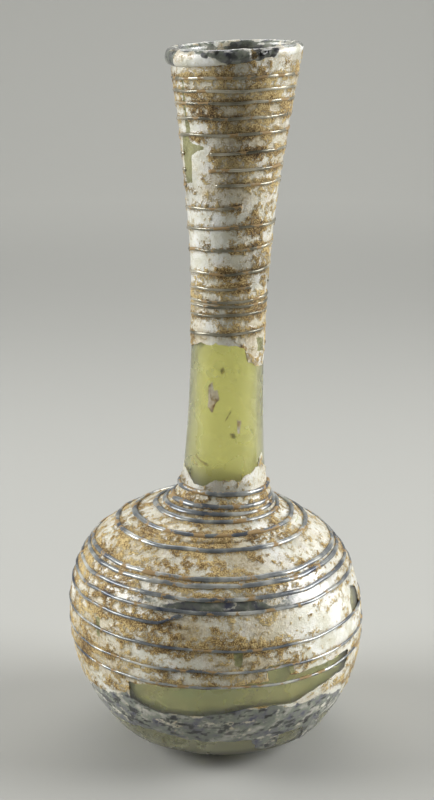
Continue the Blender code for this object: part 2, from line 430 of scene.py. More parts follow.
def grain(points, size, seed):
    """Soft random values from 0 to 1: a seeded lattice of numbers with cells of one size, blended smoothly
    between the eight corners of each cell."""
    lattice = np.random.default_rng(seed).random((LATTICE_SIDE, LATTICE_SIDE, LATTICE_SIDE))
    cell = points / size
    low = np.floor(cell).astype(int)
    share = ease(cell - low)
    total = np.zeros(points.shape[:-1])
    for corner in itertools.product((0, 1), repeat=3):
        weight = np.prod(np.where(np.array(corner) == 1, share, 1.0 - share), axis=-1)
        index = (low + corner) % LATTICE_SIDE
        total += weight * lattice[index[..., 0], index[..., 1], index[..., 2]]
    return total


def cloud(points, size, seed, layers=4, contrast=1.8):
    """Grain in layers, each half as coarse and half as strong as the last and turned against it, with the
    sum spread about one half."""
    total = 0.0
    weights = 0.0
    for layer in range(layers):
        spun = np.roll(points, layer, axis=-1) @ LAYER_TURN
        total = total + grain(spun, size / 2**layer, seed + layer) / 2**layer
        weights += 1.0 / 2**layer
    return 0.5 + (total / weights - 0.5) * contrast


def thread_points(angle, along, width, proud, sides=12):
    """An oval section carried along a path on the wall: across it the cosine of the section's angle times
    half the width, out of the wall its sine times the thread's height, sunk a little into the glass."""
    round_it = angles_round(sides)
    across = along[:, None] + 0.5 * width[:, None] * np.cos(round_it)
    out = proud[:, None] * (0.42 + 0.58 * np.sin(round_it))
    radius, height = on_wall(across, out)
    return turned(radius, height, angle[:, None])


def thread_piece(name, strands, sharp=180.0):
    """Joins strands of thread, each closed at both ends by a fan, into one piece, and gives back its points
    and how near each lies to the wall.
    """
    points, quads, triangles, foot, count = [], [], [], [], 0
    for strand in strands:
        rows, sides = strand.shape[:2]
        ends = np.stack([strand[0].mean(axis=0), strand[-1].mean(axis=0)])
        points += [strand.reshape(-1, 3), ends]
        foot += [np.tile(0.5 - 0.5 * np.sin(angles_round(sides)), rows), [0.5, 0.5]]
        ring = np.arange(sides)
        quads.append(net_faces(rows, sides)[..., ::-1].reshape(-1, 4) + count)
        triangles.append(cap_faces(ring, rows * sides, True) + count)
        triangles.append(cap_faces(ring + (rows - 1) * sides, rows * sides + 1, False) + count)
        count += rows * sides + 2
    points = np.concatenate(points)
    piece, used = new_piece(name, points, np.concatenate(quads), np.concatenate(triangles), sharp)
    return piece, used, points, np.concatenate(foot)


HOOKED_END = BODY_LOST[0][0] + BODY_LOST[0][1] / 360.0
HOOK_RISE = 0.0024
HOOK_TURNS = 0.03
LOW_THINNING = 0.24
BODY_THIN_FROM = 0.058
BODY_THIN_OVER = 0.012
DRAWN_TURNS = 0.004
DRAWN_THIN = 0.45
BEAD_AT, BEAD_TURNS, BEAD_SWELL = 0.006, 0.005, 0.45


def strands_of(winding, per_turn, seed, wobble, slim):
    """Every stretch of a winding as a strand, its width and height uneven, its ends drawn thin behind a
    bead, and the end that stops over the smear hooked up into it."""
    strands = []
    for low, high in winding.runs():
        wound = np.linspace(low, high, max(8, int((high - low) * per_turn)))
        angle = TURN * wound
        along = winding.along(wound)
        centre = turned(*on_wall(along, 0.0), angle)
        uneven = cloud(centre, 5 * MM, seed, 3) - 0.5
        along = along + wobble * (cloud(centre, 9 * MM, seed + 9, 2) - 0.5)
        hooked = abs(high - HOOKED_END) < 1e-6
        along = along + HOOK_RISE * ease((wound - HOOKED_END + HOOK_TURNS) / HOOK_TURNS) * hooked
        full = trail_width(height_at(along))
        from_end = np.minimum(wound - low, high - wound)
        drawn = ease(from_end / DRAWN_TURNS)
        thinner = slim * (1.0 - LOW_THINNING * ease((BODY_THIN_FROM - height_at(along)) / BODY_THIN_OVER))
        width = full * thinner * (DRAWN_THIN + (1.0 - DRAWN_THIN) * drawn)
        width = width * (1.0 + BEAD_SWELL * np.exp(-(((from_end - BEAD_AT) / BEAD_TURNS) ** 2)))
        proud = full * (0.5 + 0.5 * drawn) * TRAIL_PROUD * (0.86 + 0.22 * uneven)
        strands.append(thread_points(angle, along, width * (1.0 + 0.20 * uneven), proud))
    return strands


def wear_and_painted_light(piece, used, values, faint=None):
    """Gives each point of a piece its share of soil, of blue film, of stain and of light, and how far the
    glass shows through the crust, for the material. The light share holds painted shade, and on the rim
    the film share holds painted highlights."""
    shares = np.ones((len(used), 4))
    for place, value in enumerate(values):
        shares[:, place] = np.clip(value.reshape(-1)[used], 0.0, 1.0)
    layer = piece.data.attributes.new("wear_and_painted_light", "FLOAT_COLOR", "POINT")
    layer.data.foreach_set("color", shares.astype(np.float32).reshape(-1))
    thin = np.zeros(len(used)) if faint is None else faint.reshape(-1)[used]
    layer = piece.data.attributes.new("faint", "FLOAT", "POINT")
    layer.data.foreach_set("value", thin.astype(np.float32))


def trail_glass(name, dark, middle_tone, pale):
    """Glass thread between three tones: bright where its silver film is whole, pale where it is crusted,
    and ochre where soil clings, by noise and by the wear that the mesh carries."""
    thread = Finish(name, {"IOR": 1.5})
    fine = thread.noise(1300.0, 3.0)
    film = thread.ramp(thread.noise(120.0, 6.0), (0.32, dark), (0.5, middle_tone), (0.68, pale))
    parts = thread.new("SeparateColor")
    thread.links.new(thread.carried("wear_and_painted_light")["Color"], parts.inputs["Color"])
    soiled = thread.spread(thread.roughened(parts.outputs["Red"], fine, 0.7), 0.98, 1.10)
    thread.put(thread.mix(soiled, film, (0.30, 0.20, 0.085, 1.0)), "Base Color")
    thread.put(thread.spread(soiled, 0.0, 1.0, 0.24, 0.75), "Roughness")
    thread.put(thread.spread(soiled, 0.0, 1.0, 0.30, 0.0), "Metallic")
    thread.relief(fine, 0.35, 0.2 * MM)
    return thread.material


olive_trail = trail_glass("olive trail", (0.085, 0.08, 0.055), (0.24, 0.225, 0.165), (0.50, 0.47, 0.37))
silver_trail = trail_glass("silvery trail", (0.05, 0.06, 0.085), (0.22, 0.235, 0.235), (0.66, 0.66, 0.60))
for name, winding, per_turn, seed, wobble, slim, soiled, trail_material in (
    ("neck_trail", neck_winding, 140, 11, 0.7 * MM, 0.80, 0.12, olive_trail),
    ("body_trail", body_winding, 240, 23, 0.55 * MM, 0.84, 0.05, silver_trail),
):
    piece, used, points, foot = thread_piece(name, strands_of(winding, per_turn, seed, wobble, slim))
    soil = cloud(points, 2.5 * MM, seed + 40) + soiled + 0.45 * (foot - 0.35)
    wear_and_painted_light(piece, used, [soil, cloud(points, 12 * MM, seed + 50)])
    belongs(piece, trail_material)

# The crust. The glass has weathered to a hard silvery-white skin a tenth to half a millimetre thick, and
# ochre soil sticks to it, most of all beside the trail. Where it has flaked off, the glass lies bare.
# Outlines on the wall are pairs of an angle in degrees and a height in millimetres.

NECK_WINDOW_TOP = (
    (150, 110.0), (190, 112.0), (230, 113.8), (255, 113.9), (285, 113.4), (296, 112.6), (302, 109.4),
    (318, 107.7), (330, 107.0), (342, 107.7), (375, 111.0), (420, 110.0), (470, 112.0), (510, 110.0),
)
NECK_WINDOW_LOW = (
    (150, 80.0), (197, 78.1), (210, 76.9), (224, 75.3), (240, 74.5), (256, 76.1), (284, 76.4), (296, 76.6),
    (318, 78.9), (342, 79.3), (375, 75.0), (400, 69.5), (450, 68.5), (495, 70.0), (510, 78.0),
)
FLAKES_LEFT = (
    (
        (241, 102.4), (247, 103.6), (250, 101.0), (257, 101.9), (259, 98.8), (253, 97.8), (249, 95.2),
        (242, 96.8),
    ),
    ((287, 93.2), (292, 92.9), (291, 90.0), (288, 88.6)),
    ((329, 81.5), (338, 82.8), (338, 79.0), (322, 78.5)),
)
LOW_PATCH = (
    (236, 28.7), (245, 29.9), (264, 30.3), (282, 31.4), (296, 31.9), (318, 32.3), (330, 32.0), (329, 26.7),
    (318, 26.0), (307, 24.7), (299, 23.0), (287, 24.0), (278, 23.5), (263, 21.6), (247, 21.1), (239, 22.8),
    (234.5, 23.4),
)
RIGHT_PATCH = ((341, 47.3), (348, 45.0), (348, 41.0), (344, 39.4), (337, 40.7), (337, 44.1))
TRAIL_PATCH = ((289, 35.2), (296, 35.4), (298, 34.1), (298, 31.5), (289, 31.0))
BASE_PATCH = (
    (150, 11), (208, 13.4), (224, 12.4), (239, 13.5), (251, 13.0), (262, 12.1), (284, 12.3), (287, 8.0),
    (298, 7.0), (297, 12.3), (310, 12.6), (315, 7.0), (318, 2.0), (300, 0.5), (150, 0.5),
)
BASE_RIGHT_PATCH = ((320, 14.0), (333, 12.4), (352, 10.0), (350, 4.0), (324, 5.0))
BARE_PATCHES = (LOW_PATCH, RIGHT_PATCH, TRAIL_PATCH, BASE_PATCH, BASE_RIGHT_PATCH)
FAINT_PATCHES = (
    ((319, 115.0), (342, 114.3), (344, 110.9), (322, 111.2), (325, 112.8)),
    ((199, 168.3), (214, 168.5), (217, 164.3), (213, 155.8), (198, 155.5), (195, 162)),
    ((212, 167.0), (221, 165.8), (234, 165.3), (236, 164.6), (226, 164.0), (214, 162.4)),
    ((212.5, 182), (214.5, 182), (213, 172), (217, 171), (218, 168), (210, 168), (210.5, 172)),
    ((277, 40.2), (280, 40.0), (279.5, 36.0), (277, 36.5)),
    ((219, 43.5), (221, 43.5), (221.5, 38.5), (219.5, 38.5)),
    ((289, 35.6), (299, 35.4), (300, 32.5), (289, 32.6)),
)
NECK_RAGGED, EDGE_RAGGED = 1.3 * MM, 0.7 * MM


def depth_inside(angle, height, corners):
    """How deep each point of the wall lies inside an outline of angles in degrees and heights in
    millimetres: the distance to the nearest side, negative outside, with angles laid flat by the radius."""
    flat = wall_radius(height)
    middle = np.mean([corner[0] for corner in corners])
    turned_by = (np.degrees(angle) - middle + 180.0) % 360.0 - 180.0
    nearest = np.full(angle.shape, 1.0)
    inside = np.zeros(angle.shape, bool)
    for (a0, h0), (a1, h1) in zip(corners, corners[1:] + corners[:1]):
        x0, x1 = [np.radians(turned_by - (a - middle)) * -flat for a in (a0, a1)]
        y0, y1 = h0 * MM - height, h1 * MM - height
        dx, dy = x1 - x0, y1 - y0
        share = np.clip(-(x0 * dx + y0 * dy) / (dx * dx + dy * dy), 0.0, 1.0)
        nearest = np.minimum(nearest, np.hypot(x0 + share * dx, y0 + share * dy))
        crosses = (y0 > 0) != (y1 > 0)
        meets = x0 - y0 * dx / np.where(crosses, dy, 1.0) > 0
        inside ^= crosses & meets
    return np.where(inside, nearest, -nearest)


def neck_window_depth(angle, height):
    """How deep a point lies in the bare part of the neck, between two lines round it."""
    degrees = (np.degrees(angle) - 150.0) % 360.0 + 150.0
    top = np.interp(degrees, *np.transpose(NECK_WINDOW_TOP)) * MM
    low = np.interp(degrees, *np.transpose(NECK_WINDOW_LOW)) * MM
    return np.minimum(top - height, height - low)


def bareness(angle, along, points):
    """Above zero where the crust is gone: the deepest of the patches, less the flakes left in them, with a
    ragged edge by a cloud."""
    height = height_at(along)
    depth = neck_window_depth(angle, height) + NECK_RAGGED * (cloud(points, 3.1 * MM, 77, 4) - 0.5)
    for corners in BARE_PATCHES:
        depth = np.maximum(depth, depth_inside(angle, height, corners))
    for corners in FLAKES_LEFT:
        depth = np.minimum(depth, -depth_inside(angle, height, corners))
    return depth + EDGE_RAGGED * (cloud(points, 2.4 * MM, 71, 4) - 0.5)


MOST_SLIDE = 0.7
FAINT_THINNING = 0.7
SUNK = 0.04 * MM


def crust_sheet(name, low_along, high_along, rows, columns, thickness_of, seed):
    """A net over the wall between two distances along it, lifted by the crust's thickness, without the
    faces that lie bare. Points at a hole's edge slide onto the edge, and its rim drops to the glass."""
    angle = angles_round(columns) + np.zeros((rows, 1))
    along = np.linspace(low_along, high_along + np.zeros(columns), rows)
    step_along, step_angle = (along[-1] - along[0]) / (rows - 1), TURN / columns
    field = -bareness(angle, along, turned(*on_wall(along, 0.0), angle))
    kept = (field + np.roll(field, -1, 1))[:-1] + (field + np.roll(field, -1, 1))[1:] > 0.0
    around = np.zeros((rows, columns), int)
    for shift in (0, 1):
        around[:-1] += np.roll(kept, shift, 1)
        around[1:] += np.roll(kept, shift, 1)
    at_edge = (around > 0) & (around < 4)
    at_edge[[0, -1]] = False
    grow_along = np.gradient(field, axis=0)
    grow_angle = (np.roll(field, -1, 1) - np.roll(field, 1, 1)) / 2.0
    reach = np.where(at_edge, -field / np.maximum(grow_along**2 + grow_angle**2, 1e-14), 0.0)
    along = along + np.clip(reach * grow_along, -MOST_SLIDE, MOST_SLIDE) * step_along
    angle = angle + np.clip(reach * grow_angle, -MOST_SLIDE, MOST_SLIDE) * step_angle
    base = turned(*on_wall(along, 0.0), angle)
    thickness, shares = thickness_of(angle, along, base, seed)
    faint = np.zeros_like(along)
    for corners in FAINT_PATCHES:
        faint = np.maximum(faint, ease(depth_inside(angle, height_at(along), corners) / (0.5 * MM) + 0.6))
    top = turned(*on_wall(along, thickness * (1.0 - FAINT_THINNING * faint)), angle)
    foot = turned(*on_wall(along, np.full_like(along, -SUNK)), angle)

    number = np.arange(rows * columns).reshape(rows, columns)
    beside = np.roll(number, -1, 1)
    none = np.zeros((1, columns), bool)
    above, below = np.concatenate([kept, none]), np.concatenate([none, kept])
    left_of = np.roll(kept, 1, 1)
    faces = [net_faces(rows, columns)[kept]]
    for edge, first, last in (
        (above & ~below, beside, number), (below & ~above, number, beside),
        (kept & ~left_of, number[:-1], number[1:]), (left_of & ~kept, number[1:], number[:-1]),
    ):
        a, b = first[edge], last[edge]
        faces.append(np.stack([a, b, b + number.size, a + number.size], axis=-1))
    points = np.concatenate([top.reshape(-1, 3), foot.reshape(-1, 3)])
    piece, used = new_piece(name, points, np.concatenate(faces), sharp=50.0)
    shares = [np.concatenate([share.reshape(-1)] * 2) for share in shares]
    wear_and_painted_light(piece, used, shares, np.concatenate([faint, faint]))
    return piece


def spots(degrees, height, places):
    """The sum of soft bumps round places on the wall. Each is a strength times the exponential of minus two
    squares: the turn away over a width in degrees, and the height away over a height in millimetres."""
    total = np.zeros_like(height)
    for strength, at, wide, high, tall in places:
        away = (degrees - at + 180.0) % 360.0 - 180.0
        total += strength * np.exp(-((away / wide) ** 2) - ((height / MM - high) / tall) ** 2)
    return total


def beside_trail(winding, angle, along, reach):
    """One right beside the trail and fading away from it."""
    return np.exp(-((winding.nearest(angle, along) / reach) ** 2))


NECK_SOIL = (
    (0.17, 285, 42, 166, 16), (0.10, 300, 40, 124, 12), (0.20, 232, 40, 183.5, 2.5),
    (0.30, 235, 16, 153.5, 1.3), (-0.24, 228, 40, 140, 13), (-0.16, 205, 24, 165, 20),
    (0.10, 298, 22, 145, 9), (0.10, 265, 50, 124, 11), (0.16, 254, 10, 97, 3),
)
# Painted shade on the front of the upper neck: strength, angle, width, height and tall, as in spots.
NECK_SHADE = ((0.30, 268, 24, 168, 18),)
WINDOW_SOIL, WINDOW_FROM, WINDOW_TO = 0.12, 0.083, 0.1065


def neck_thickness(angle, along, points, seed):
    """The neck's crust: even white panels, with soil heaped against the trail and in ragged patches, most
    of it at the middle and the right of the upper half. Painted shade darkens it beside the trail and on
    the front of the upper neck."""
    height = height_at(along)
    degrees = np.degrees(angle) % 360.0
    near = beside_trail(neck_winding, angle, along, 1.25 * MM)
    patches = cloud(points * [1.0, 1.0, 1.4], 3.6 * MM, seed, 5)
    specks = cloud(points, 1.0 * MM, seed + 7, 3)
    where = spots(degrees, height, NECK_SOIL)
    where += WINDOW_SOIL * ease((height - WINDOW_FROM) / MM) * ease((WINDOW_TO - height) / MM)
    soil = 0.36 + where + 0.40 * near + 0.72 * (patches - 0.5) + 0.50 * (specks - 0.5)
    stain = 0.30 + 1.2 * where + 0.5 * (cloud(points, 7 * MM, seed + 13, 4) - 0.5) + 0.2 * near
    lift = ease((soil - 0.42) / 0.25)
    thickness = (0.12 + 0.20 * lift * (0.3 + specks) + 0.05 * near + 0.06 * (patches - 0.5)) * MM
    light = 0.93 - 0.30 * ease((cloud(points, 11 * MM, seed + 19, 3) - 0.55) / 0.3)
    # Painted shade: a dark line along both sides of the trail, where the thread shades the wall.
    light = light - 0.42 * beside_trail(neck_winding, angle, along, 0.7 * MM)
    # Painted shade: the front of the upper neck is darkened, unevenly by the patch cloud.
    light = light - spots(degrees, height, NECK_SHADE) * (0.4 + patches)
    return thickness, (soil, np.zeros_like(soil), stain, light)


BELT_TOP = (
    (180, 17.5), (214, 22.0), (234, 24.5), (243, 23.5), (255, 22.0), (269, 22.8), (282, 24.2), (299, 23.3),
    (303, 23.4), (314, 22.8), (331, 19.0), (345, 15.0), (400, 12.0), (500, 14.0), (540, 17.5),
)
BODY_SOIL = (
    (0.12, 215, 40, 55, 9), (0.16, 208, 24, 33, 11), (0.16, 262, 30, 44.5, 4), (0.13, 275, 60, 67, 5),
    (0.08, 285, 25, 34, 4), (0.08, 250, 30, 58, 5), (-0.30, 325, 27, 44, 15), (-0.14, 228, 14, 40, 4),
)
SMEAR = ((1.3, 278, 34, 51.2, 1.6),)
BLUE_SHOULDER = ((0.35, 240, 60, 67, 4),)
HEEL_FADE = 1.5 * MM


def body_thickness(angle, along, points, seed):
    """The globe's crust: mottled white and ochre, brown at the left and white at the right, a dark smear
    along one turn of the trail, a blue-grey pitted belt low down, and painted shade beside the trail."""
    height = height_at(along)
    degrees = np.degrees(angle) % 360.0
    near = beside_trail(body_winding, angle, along, 1.3 * MM)
    patches = cloud(points * [1.0, 1.0, 1.9], 5.0 * MM, seed, 5)
    specks = cloud(points * [1.0, 1.0, 1.4], 1.3 * MM, seed + 7, 3)
    where = spots(degrees, height, BODY_SOIL)
    soil = 0.45 + where + 0.24 * near + 0.66 * (patches - 0.5) + 0.66 * (specks - 0.5)
    ragged = cloud(points, 4 * MM, seed + 17, 4) - 0.5
    top = np.interp((degrees - 180.0) % 360.0 + 180.0, *np.transpose(BELT_TOP)) * MM
    belt = ease((top + 2.0 * MM * ragged - height) / (1.0 * MM))
    streaks = cloud(points * [1.0, 1.0, 3.0], 3.0 * MM, seed + 37, 4) - 0.5
    smear = spots(degrees, height, SMEAR) * (1.0 + 1.8 * streaks)
    film = cloud(points * [1.0, 1.0, 2.0], 3.2 * MM, seed + 29, 4)
    blue = belt * (0.74 + 0.7 * (film - 0.5)) + smear + spots(degrees, height, BLUE_SHOULDER) * (film - 0.3)
    soil = soil * (1.0 - 0.75 * belt) * (1.0 - np.clip(smear, 0.0, 0.8))
    pits = ease((cloud(points * [1.0, 1.0, 2.4], 1.9 * MM, seed + 23, 4) - 0.63) / 0.08) * belt
    light = 1.0 - 0.74 * pits - 0.36 * np.clip(smear, 0.0, 1.0)
    light = light - 0.22 * ease((cloud(points, 11 * MM, seed + 19, 3) - 0.55) / 0.3)
    # Painted shade: a dark line along both sides of the trail, where the thread shades the wall.
    light = light - 0.36 * beside_trail(body_winding, angle, along, 0.85 * MM)
    stain = 0.34 + 1.1 * where + 0.6 * (cloud(points, 9 * MM, seed + 13, 4) - 0.5)
    lift = ease((soil - 0.42) / 0.25)
    thickness = 0.15 + 0.20 * lift * (0.3 + specks) + 0.06 * near + 0.08 * (patches - 0.5) - 0.10 * pits
    return thickness * ease(height / HEEL_FADE) * MM, (soil, blue + 0.8 * pits, stain, light)


def white_crust():
    """White skin under ochre soil and blue film. Noise breaks up the edges of the shares of soil, film and
    stain that the mesh carries, so that soil is rough and brown, the skin satin and white, and the film
    blue-grey and bright. The carried light share, painted shade among it, multiplies the colour."""
    crust = Finish("white crust and ochre soil", {"IOR": 1.5, "Coat Roughness": 0.16})
    carried_wear_and_light = crust.carried("wear_and_painted_light")
    parts = crust.new("SeparateColor")
    crust.links.new(carried_wear_and_light["Color"], parts.inputs["Color"])
    noise, ramp, spread, roughened = crust.noise, crust.ramp, crust.spread, crust.roughened

    edge_noise = noise(900.0, 4.0, 0.55)
    fine_noise = noise(2800.0, 3.0, 0.55)
    skin_noise = noise(230.0, 6.0, 0.55)
    broken = roughened(roughened(parts.outputs["Red"], edge_noise, 1.2), fine_noise, 1.2)
    soil_share = spread(broken, 1.72, 1.84)
    halo_share = spread(broken, 1.50, 1.76, 0.0, 0.85)
    blue_share = spread(roughened(parts.outputs["Green"], edge_noise, 1.0), 0.92, 1.12)
    stained = roughened(roughened(parts.outputs["Blue"], skin_noise, 0.8), fine_noise, 0.7)
    stain_share = spread(stained, 0.91, 1.40, 0.0, 0.85)

    white = ramp(
        skin_noise, (0.30, (0.64, 0.62, 0.49)), (0.48, (0.76, 0.755, 0.66)), (0.62, (0.90, 0.905, 0.87)),
    )
    cream = ramp(edge_noise, (0.35, (0.38, 0.28, 0.13)), (0.60, (0.68, 0.59, 0.39)))
    skin = crust.mix(halo_share, crust.mix(stain_share, white, cream), cream)
    grit = roughened(roughened(noise(120.0, 3.0, 0.55), fine_noise, 1.7), edge_noise, 0.7)
    soil = ramp(
        spread(grit, 1.20, 2.04), (0.18, (0.05, 0.027, 0.009)), (0.46, (0.20, 0.120, 0.038)),
        (0.66, (0.42, 0.290, 0.110)), (0.86, (0.64, 0.50, 0.24)),
    )
    film = ramp(
        noise(260.0, 7.0, 0.55), (0.32, (0.09, 0.095, 0.14)), (0.44, (0.20, 0.205, 0.20)),
        (0.54, (0.235, 0.26, 0.205)), (0.68, (0.50, 0.48, 0.43)),
    )
    olive = ramp(skin_noise, (0.35, (0.17, 0.165, 0.06)), (0.60, (0.33, 0.32, 0.14)))
    faint_share = spread(roughened(crust.carried("faint")["Fac"], edge_noise, 1.6), 1.15, 1.45)
    colour = crust.mix(blue_share, crust.mix(soil_share, skin, soil), film)
    colour = crust.mix(faint_share, colour, olive)
    # The colour times the carried light share: painted shade beside the trail and on the neck's front, with
    # the real pits and smear.
    crust.put(crust.mix(1.0, colour, carried_wear_and_light["Alpha"], "MULTIPLY"), "Base Color")
    uneven = roughened(roughened(soil_share, skin_noise, 0.6), blue_share, -0.25)
    crust.put(spread(uneven, 0.15, 1.3, 0.20, 0.92), "Roughness")
    crust.put(spread(soil_share, 0.0, 1.0, 0.45, 0.05), "Coat Weight")
    height = roughened(roughened(spread(fine_noise, 0.0, 1.0, 0.0, 0.45), soil_share, 0.8), edge_noise, 0.4)
    crust.relief(height, spread(blue_share, 0.0, 1.0, 0.9, 0.4), 0.4 * MM)
    return crust.material


NECK_FOOT = 0.0735
ROLL_HEIGHT = 0.0036
ROLL_HEIGHT_SWING = 0.0010
ROLL_THICK_AT = 190.0
UNDER_ROLL_BY = 0.8 * MM


def roll_tall(angle):
    """How tall the rolled edge is: a middle height and a swing with the cosine of the angle."""
    return ROLL_HEIGHT + ROLL_HEIGHT_SWING * np.cos(angle - np.radians(ROLL_THICK_AT))


crust_material = white_crust()
under_roll = angles_round(216)
under_roll = along_at(rim_top(under_roll) - roll_tall(under_roll) + UNDER_ROLL_BY)
middle_along, neck_foot_along = along_at(BODY_MIDDLE), along_at(NECK_FOOT)
for piece in (
    crust_sheet("neck_crust", neck_foot_along, under_roll, 340, 216, neck_thickness, 101),
    crust_sheet("shoulder_crust", middle_along, neck_foot_along, 150, 560, body_thickness, 201),
    crust_sheet("lower_crust", 0.2 * MM, middle_along, 110, 560, body_thickness, 201),
):
    belongs(piece, crust_material)

# The rim. The mouth's edge was rolled outward and pressed down hot, thickest at the left. Its skin is white
# and glossy there, worn to dark glass in the middle, and chipped.

ROLL_PROUD = 0.0012
ROLL_PROUD_SWING = 0.0008
RIM_COLUMNS, RIM_SIDES = 480, 40
CHIPS = ((1.0, 297.0, 6.0), (0.7, 284.5, 4.5))
CHIP_DEPTH = 0.34
LUMP_DEPTH = 0.12
BROWN_CHIP = (275.0, 293.0)
RIM_WHITE_UP_TO = (
    (0, 0.4), (30, 0.5), (70, -0.6), (110, 0.3), (150, -0.4), (186, -1.6), (206, -1.3), (214, 0.6),
    (238, 0.55), (254, -0.2), (266, -1.3), (286, -1.3), (302, -0.7), (309, 0.6), (335, 0.85), (360, 0.4),
)
DARK_GLASS = (
    (0, 0.0), (185, 0.0), (204, 0.45), (220, 0.1), (235, 0.0), (254, 0.45), (270, 0.15), (284, 0.35),
    (297, 0.75), (308, 0.0), (360, 0.0),
)


def rim_points(columns, sides):
    """The roll as an oval section round the mouth: its half height and its reach swing with the cosine of
    the angle, its top dips with the tip of the mouth, a cloud makes it uneven, and two chips bite into it."""
    angle = angles_round(columns)[:, None]
    degrees = np.degrees(angle)
    tall = roll_tall(angle)
    proud = ROLL_PROUD + ROLL_PROUD_SWING * np.cos(angle - np.radians(ROLL_THICK_AT))
    wall = wall_radius(rim_top(angle) - tall)
    outer, inner = wall + proud, wall - 1.1 * NECK_WALL
    round_it = angles_round(sides)
    radius = (outer + inner) / 2 + (outer - inner) / 2 * np.cos(round_it)
    height = rim_top(angle) - tall / 2 + tall / 2 * np.sin(round_it)
    points = turned(radius, height, angle)
    centre = turned((outer + inner) / 2, rim_top(angle) - tall / 2, angle)
    lump = cloud(points, 4 * MM, 301, 3) - 0.75
    chip = sum(share * np.exp(-(((degrees - at) / wide) ** 2)) for share, at, wide in CHIPS)
    chip = chip * ease((np.cos(round_it - 0.4) + 0.2) / 0.8) * (0.7 + 0.9 * cloud(points, 1.5 * MM, 307, 3))
    return points + (points - centre) * (LUMP_DEPTH * lump - CHIP_DEPTH * chip)[..., None], chip


rim_net, rim_chip = rim_points(RIM_COLUMNS, RIM_SIDES)
low, side = np.meshgrid(np.arange(RIM_COLUMNS), np.arange(RIM_SIDES), indexing="ij")
next_low, next_side = (low + 1) % RIM_COLUMNS, (side + 1) % RIM_SIDES
corners = ((low, side), (next_low, side), (next_low, next_side), (low, next_side))
rim_faces = np.stack([a * RIM_SIDES + b for a, b in corners], axis=-1).reshape(-1, 4)
rim_piece, used = new_piece("rolled_rim", rim_net, rim_faces)

rim_degrees = np.degrees(angles_round(RIM_COLUMNS))[:, None] + np.zeros(RIM_SIDES)
round_roll = angles_round(RIM_SIDES)
rim_level = np.sin(round_roll) + 0.6 * (np.cos(round_roll) < 0)
rim_worn = cloud(rim_net, 2.5 * MM, 321, 5) - 0.5
white_edge = np.interp(rim_degrees, *np.transpose(RIM_WHITE_UP_TO))
white_part = ease((white_edge - rim_level + 1.2 * rim_worn) / 0.5 + 0.5)
brown_chip = rim_chip * ease((rim_degrees - BROWN_CHIP[0]) / 4.0) * ease((BROWN_CHIP[1] - rim_degrees) / 4.0)
rim_soil = 0.16 + 0.7 * rim_worn + 0.8 * brown_chip
rim_blue = np.clip(1.05 - 1.1 * white_part + 0.7 * rim_worn, 0.0, 1.0) * (1.0 - brown_chip)
# Painted highlights: pale streaks on the top of the roll, where the blue film is thinned so the white skin
# shows.
rim_painted_highlight = ease((cloud(rim_net * [1.0, 1.0, 2.5], 2.6 * MM, 351, 4) - 0.54) / 0.08)
rim_blue = rim_blue * (1.0 - 0.75 * rim_painted_highlight * ease((rim_level - 0.35) / 0.5))
rim_fleck = ease((cloud(rim_net, 1.6 * MM, 341, 3) - 0.52) / 0.12)
rim_dark = 0.45 * rim_fleck + np.interp(rim_degrees, *np.transpose(DARK_GLASS))
rim_light = 1.0 - rim_dark * (1.0 - white_part)
wear_and_painted_light(rim_piece, used, [rim_soil, rim_blue, 0.2 + rim_worn, rim_light])
belongs(rim_piece, crust_material)

# The film inside. Soil and weathered glass line the inside too: pale grey-green in the globe, ochre and
# grey in the flare of the mouth, and only a few brown stains in the middle of the neck, where light comes
# through.

NECK_STAINS = (
    ((257.5, 106.7), (260, 107.4), (263, 107.2), (264.5, 106.2), (262, 105.4), (258.5, 105.6)),
    ((233, 100.8), (241, 101.6), (243, 99.6), (240, 98.5), (234, 99.2)),
    ((268, 92.9), (277.5, 95.5), (278, 95.1), (268.8, 92.5)),
    ((199, 84.2), (215, 83.0), (228, 81.4), (241, 80.7), (242, 80.0), (228, 80.6), (213, 82.2), (199, 83.3)),
    ((205, 81.7), (222, 79.8), (224, 79.1), (205, 80.9)),
    ((278, 89.2), (284, 89.2), (287, 88.6), (284, 87.7), (279, 88.2)),
)
LINING, LINING_UNEVEN = 0.05 * MM, 0.12 * MM
STAIN_RAGGED = 0.3 * MM
BLUE_DEPTH, BLUE_FADE = 7.0 * MM, 3.0 * MM


def lining_sheet(name, low_along, high_along, rows, columns, wall, seed, top_blue, stains=None, soiled=0.0):
    """A net on the inner wall, a twentieth of a millimetre off the glass, facing the hollow, with its
    topmost part as blue and dark as asked, and only inside the stains if any are given."""
    angle = angles_round(columns) + np.zeros((rows, 1))
    along = np.linspace(low_along, high_along + np.zeros(columns), rows)
    base = turned(*on_wall(along, -wall), angle)
    thickness = LINING + LINING_UNEVEN * cloud(base, 3 * MM, seed)
    points = turned(*on_wall(along, -wall - thickness), angle)
    shown = np.ones((rows - 1, columns), bool)
    if stains:
        depth = np.max([depth_inside(angle, height_at(along), corners) for corners in stains], axis=0)
        shown = (depth + STAIN_RAGGED * (cloud(base, 1.5 * MM, seed + 9, 2) - 0.5))[:-1] > 0.0
    piece, used = new_piece(name, points, net_faces(rows, columns)[shown][:, ::-1])
    to_top = ease((along - along[-1] + BLUE_DEPTH) / BLUE_FADE) * top_blue
    patchy = cloud(base, 4 * MM, seed + 3)
    stain = cloud(base, 8 * MM, seed + 5)
    wear_and_painted_light(piece, used, [0.5 * patchy + soiled, to_top * (0.7 + patchy), stain, 1.0 - 0.5 * to_top])
    return piece


